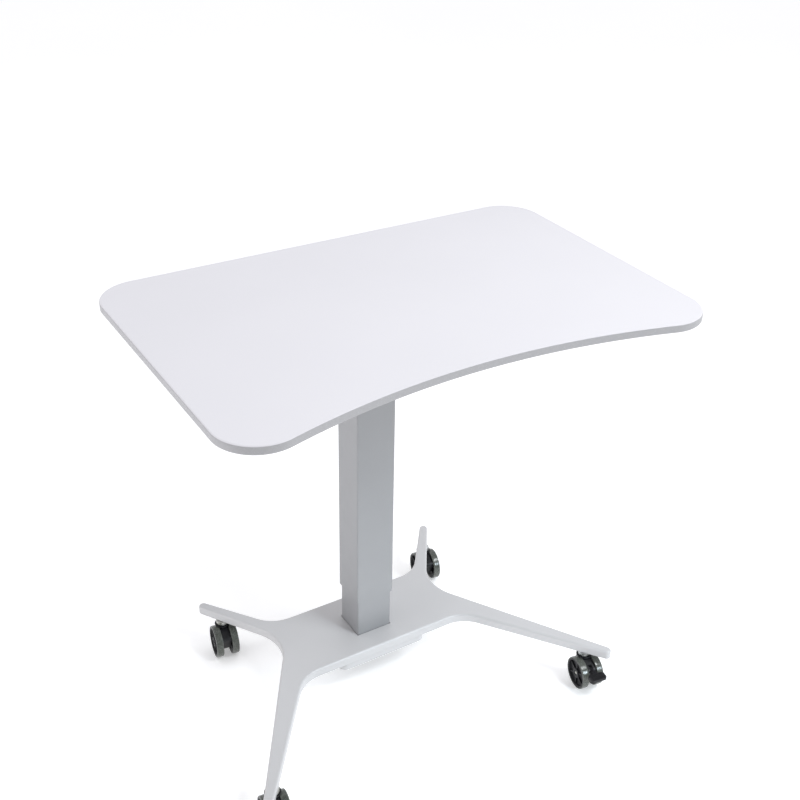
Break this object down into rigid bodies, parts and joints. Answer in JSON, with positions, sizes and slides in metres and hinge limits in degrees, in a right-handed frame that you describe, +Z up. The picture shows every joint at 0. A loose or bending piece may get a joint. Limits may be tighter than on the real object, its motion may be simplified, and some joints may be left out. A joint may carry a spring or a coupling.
{
  "type": "overbed table",
  "caption": "Mobile height-adjustable table: white top with a concave front edge on a telescopic square column, gas-spring release lever, splayed four-leg base and swivel casters.",
  "frame": {"origin": "on the floor, at the middle of the footprint box", "axes": "+X to the user's right along the long side of the top, +Y away from the user towards the straight rear edge, +Z up out of the working surface"},
  "size_m": [0.8, 0.5753, 0.79],
  "materials": {
    "top_laminate": "white satin laminate over fibreboard",
    "silver_paint": "silver-grey satin powder coat",
    "cast_paint": "light grey satin powder coat",
    "black_steel": "black fine-texture powder coat",
    "zinc": "bright zinc plate",
    "chrome": "ground and hard-chromed",
    "acetal": "natural acetal",
    "black_nylon": "moulded black nylon, fine spark texture",
    "polyurethane": "grey-green moulded polyurethane"
  },
  "bodies": {
    "base": {"base_casting": "cast_paint", "inner_tube": "silver_paint", "upper_glide": "acetal", "foot_plate": "black_steel", "foot_bolt_1": "zinc", "foot_bolt_2": "zinc", "foot_bolt_3": "zinc", "foot_bolt_4": "zinc", "gas_spring_cylinder": "black_steel", "gas_spring_nut": "zinc", "caster_front_left_stem": "zinc", "caster_front_right_stem": "zinc", "caster_rear_left_stem": "zinc", "caster_rear_right_stem": "zinc"},
    "top": {"tabletop": "top_laminate", "front_rail": "black_steel", "rear_rail": "black_steel", "front_left_rail_screw": "zinc", "front_right_rail_screw": "zinc", "rear_left_rail_screw": "zinc", "rear_right_rail_screw": "zinc", "mounting_plate": "black_steel", "plate_screw_1": "zinc", "plate_screw_2": "zinc", "plate_screw_3": "zinc", "plate_screw_4": "zinc", "outer_tube": "silver_paint", "lower_glide": "acetal", "gas_spring_rod": "chrome", "release_head": "black_steel", "lever_pivot_pin": "zinc"},
    "release_lever": {"release_lever": "black_steel", "lever_grip": "black_nylon"},
    "release_pin": {"release_pin": "zinc"},
    "caster_front_left_swivel": {"caster_front_left_housing": "black_nylon", "caster_front_left_axle": "zinc"},
    "caster_front_left_left_wheel": {"caster_front_left_left_wheel_core": "black_nylon", "caster_front_left_left_wheel_tread": "polyurethane"},
    "caster_front_left_right_wheel": {"caster_front_left_right_wheel_core": "black_nylon", "caster_front_left_right_wheel_tread": "polyurethane"},
    "caster_front_left_pedal": {"caster_front_left_brake_pedal": "black_nylon"},
    "caster_front_right_swivel": {"caster_front_right_housing": "black_nylon", "caster_front_right_axle": "zinc"},
    "caster_front_right_left_wheel": {"caster_front_right_left_wheel_core": "black_nylon", "caster_front_right_left_wheel_tread": "polyurethane"},
    "caster_front_right_right_wheel": {"caster_front_right_right_wheel_core": "black_nylon", "caster_front_right_right_wheel_tread": "polyurethane"},
    "caster_front_right_pedal": {"caster_front_right_brake_pedal": "black_nylon"},
    "caster_rear_left_swivel": {"caster_rear_left_housing": "black_nylon", "caster_rear_left_axle": "zinc"},
    "caster_rear_left_left_wheel": {"caster_rear_left_left_wheel_core": "black_nylon", "caster_rear_left_left_wheel_tread": "polyurethane"},
    "caster_rear_left_right_wheel": {"caster_rear_left_right_wheel_core": "black_nylon", "caster_rear_left_right_wheel_tread": "polyurethane"},
    "caster_rear_right_swivel": {"caster_rear_right_housing": "black_nylon", "caster_rear_right_axle": "zinc"},
    "caster_rear_right_left_wheel": {"caster_rear_right_left_wheel_core": "black_nylon", "caster_rear_right_left_wheel_tread": "polyurethane"},
    "caster_rear_right_right_wheel": {"caster_rear_right_right_wheel_core": "black_nylon", "caster_rear_right_right_wheel_tread": "polyurethane"}
  },
  "joints": [
    {"name": "height_slide", "type": "slide", "parent": "base", "child": "top", "axis": [0, 0, 1], "range_m": [-0.07, 0.33]},
    {"name": "release_lever_hinge", "type": "hinge", "parent": "top", "child": "release_lever", "pos_m": [0.04, 0.09106, 0.762], "axis": [0, -1, 0], "range_deg": [0, 4.5], "stiffness_Nm_per_rad": 6, "springref_deg": -14.32},
    {"name": "release_pin_slide", "type": "slide", "parent": "top", "child": "release_pin", "axis": [0, 0, 1], "range_m": [-0.0035, 0]},
    {"name": "caster_front_left_swivel_joint", "type": "hinge", "parent": "base", "child": "caster_front_left_swivel", "pos_m": [-0.31485, -0.16662, 0.062], "axis": [0, 0, 1], "continuous": true},
    {"name": "caster_front_left_left_wheel_spin", "type": "hinge", "parent": "caster_front_left_swivel", "child": "caster_front_left_left_wheel", "pos_m": [-0.33109, -0.17552, 0.03], "axis": [0.989, -0.1478, 0], "continuous": true},
    {"name": "caster_front_left_right_wheel_spin", "type": "hinge", "parent": "caster_front_left_swivel", "child": "caster_front_left_right_wheel", "pos_m": [-0.30192, -0.17988, 0.03], "axis": [0.989, -0.1478, 0], "continuous": true},
    {"name": "caster_front_left_pedal_hinge", "type": "hinge", "parent": "caster_front_left_swivel", "child": "caster_front_left_pedal", "pos_m": [-0.31899, -0.19431, 0.044], "axis": [0.989, -0.1478, 0], "range_deg": [0, 12]},
    {"name": "caster_front_right_swivel_joint", "type": "hinge", "parent": "base", "child": "caster_front_right_swivel", "pos_m": [0.31485, -0.16662, 0.062], "axis": [0, 0, 1], "continuous": true},
    {"name": "caster_front_right_left_wheel_spin", "type": "hinge", "parent": "caster_front_right_swivel", "child": "caster_front_right_left_wheel", "pos_m": [0.29861, -0.17552, 0.03], "axis": [0.989, -0.1478, 0], "continuous": true},
    {"name": "caster_front_right_right_wheel_spin", "type": "hinge", "parent": "caster_front_right_swivel", "child": "caster_front_right_right_wheel", "pos_m": [0.32778, -0.17988, 0.03], "axis": [0.989, -0.1478, 0], "continuous": true},
    {"name": "caster_front_right_pedal_hinge", "type": "hinge", "parent": "caster_front_right_swivel", "child": "caster_front_right_pedal", "pos_m": [0.31071, -0.19431, 0.044], "axis": [0.989, -0.1478, 0], "range_deg": [0, 12]},
    {"name": "caster_rear_left_swivel_joint", "type": "hinge", "parent": "base", "child": "caster_rear_left_swivel", "pos_m": [-0.22207, 0.24456, 0.062], "axis": [0, 0, 1], "continuous": true},
    {"name": "caster_rear_left_left_wheel_spin", "type": "hinge", "parent": "caster_rear_left_swivel", "child": "caster_rear_left_left_wheel", "pos_m": [-0.23831, 0.23566, 0.03], "axis": [0.989, -0.1478, 0], "continuous": true},
    {"name": "caster_rear_left_right_wheel_spin", "type": "hinge", "parent": "caster_rear_left_swivel", "child": "caster_rear_left_right_wheel", "pos_m": [-0.20914, 0.2313, 0.03], "axis": [0.989, -0.1478, 0], "continuous": true},
    {"name": "caster_rear_right_swivel_joint", "type": "hinge", "parent": "base", "child": "caster_rear_right_swivel", "pos_m": [0.22207, 0.24456, 0.062], "axis": [0, 0, 1], "continuous": true},
    {"name": "caster_rear_right_left_wheel_spin", "type": "hinge", "parent": "caster_rear_right_swivel", "child": "caster_rear_right_left_wheel", "pos_m": [0.20583, 0.23566, 0.03], "axis": [0.989, -0.1478, 0], "continuous": true},
    {"name": "caster_rear_right_right_wheel_spin", "type": "hinge", "parent": "caster_rear_right_swivel", "child": "caster_rear_right_right_wheel", "pos_m": [0.235, 0.2313, 0.03], "axis": [0.989, -0.1478, 0], "continuous": true}
  ],
  "couplings": [
    {"joint": "release_pin_slide", "follows": "release_lever_hinge", "m_per_rad": -0.04}
  ]
}
